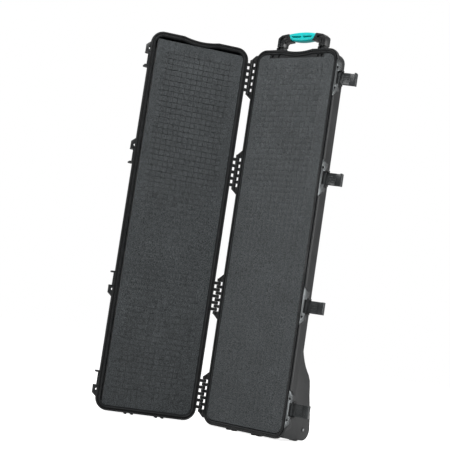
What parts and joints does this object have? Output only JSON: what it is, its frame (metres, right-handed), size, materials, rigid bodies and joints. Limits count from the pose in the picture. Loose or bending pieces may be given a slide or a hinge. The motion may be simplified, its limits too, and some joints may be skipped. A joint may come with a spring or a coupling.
{
  "type": "wheeled hard equipment case",
  "caption": "Long wheeled hard case of moulded plastic, opened like a book and standing on its wheel end, with cubed foam in both halves, throw latches and a fold-down grip handle.",
  "frame": {"origin": "middle of the bounding box at the ground, with the case standing on its wheel end and the lid open", "axes": "+Z along the case, up from the wheel end to the handle end; -Y out of the open base half; +X from the hinge side of the base to its latch side"},
  "size_m": [0.7128, 0.502, 1.463],
  "materials": {
    "shell_plastic": "fine-grained moulded plastic, dark charcoal",
    "latch_plastic": "smoother moulded plastic, charcoal",
    "cubed_foam": "open-cell foam, pre-scored in a 20 mm grid",
    "pad_foam": "plain open-cell foam",
    "seal_rubber": "soft black sealing rubber",
    "plate_steel": "stainless sheet, lightly brushed",
    "pin_steel": "plain steel rod",
    "hub_plastic": "moulded plastic",
    "tyre_rubber": "solid black tyre rubber",
    "handle_plastic": "glass-filled plastic",
    "grip_rubber": "soft-touch moulded rubber, turquoise"
  },
  "bodies": {
    "base": {"base_shell": "shell_plastic", "base_foam_pad": "pad_foam", "base_foam_cubed": "cubed_foam", "pressure_valve": "latch_plastic", "lock_plate_1": "plate_steel", "latch_pin_1": "pin_steel", "hinge_pin_1": "pin_steel", "lock_plate_2": "plate_steel", "latch_pin_2": "pin_steel", "hinge_pin_2": "pin_steel", "lock_plate_3": "plate_steel", "latch_pin_3": "pin_steel", "hinge_pin_3": "pin_steel", "lock_plate_4": "plate_steel", "latch_pin_4": "pin_steel", "hinge_pin_4": "pin_steel", "handle_pin_1": "pin_steel", "handle_pin_2": "pin_steel", "wheel_axle_1": "pin_steel", "wheel_axle_2": "pin_steel"},
    "lid": {"lid_shell": "shell_plastic", "lid_seal": "seal_rubber", "lid_foam_pad": "pad_foam", "lid_foam_cubed": "cubed_foam"},
    "handle": {"handle_frame": "handle_plastic", "handle_grip": "grip_rubber"},
    "latch_1": {"latch_1": "latch_plastic"},
    "latch_2": {"latch_2": "latch_plastic"},
    "latch_3": {"latch_3": "latch_plastic"},
    "latch_4": {"latch_4": "latch_plastic"},
    "wheel_1": {"wheel_hub_1": "hub_plastic", "wheel_tyre_1": "tyre_rubber"},
    "wheel_2": {"wheel_hub_2": "hub_plastic", "wheel_tyre_2": "tyre_rubber"}
  },
  "joints": [
    {"name": "lid_hinge", "type": "hinge", "parent": "base", "child": "lid", "pos_m": [-0.09893, 0.08099, 0.7], "axis": [0, 0, 1], "range_deg": [0, 124.7]},
    {"name": "latch_1_pivot", "type": "hinge", "parent": "base", "child": "latch_1", "pos_m": [0.29707, 0.09299, 1.287], "axis": [0, 0, -1], "range_deg": [-20, 120]},
    {"name": "latch_2_pivot", "type": "hinge", "parent": "base", "child": "latch_2", "pos_m": [0.29707, 0.09299, 0.927], "axis": [0, 0, -1], "range_deg": [-20, 120]},
    {"name": "latch_3_pivot", "type": "hinge", "parent": "base", "child": "latch_3", "pos_m": [0.29707, 0.09299, 0.473], "axis": [0, 0, -1], "range_deg": [-20, 120]},
    {"name": "latch_4_pivot", "type": "hinge", "parent": "base", "child": "latch_4", "pos_m": [0.29707, 0.09299, 0.113], "axis": [0, 0, -1], "range_deg": [-20, 120]},
    {"name": "handle_fold", "type": "hinge", "parent": "base", "child": "handle", "pos_m": [0.10307, 0.11299, 1.398], "axis": [-1, 0, 0], "range_deg": [0, 90]},
    {"name": "wheel_1_spin", "type": "hinge", "parent": "base", "child": "wheel_1", "pos_m": [-0.03493, 0.20699, 0.044], "axis": [1, 0, 0], "continuous": true},
    {"name": "wheel_2_spin", "type": "hinge", "parent": "base", "child": "wheel_2", "pos_m": [0.24107, 0.20699, 0.044], "axis": [1, 0, 0], "continuous": true}
  ]
}
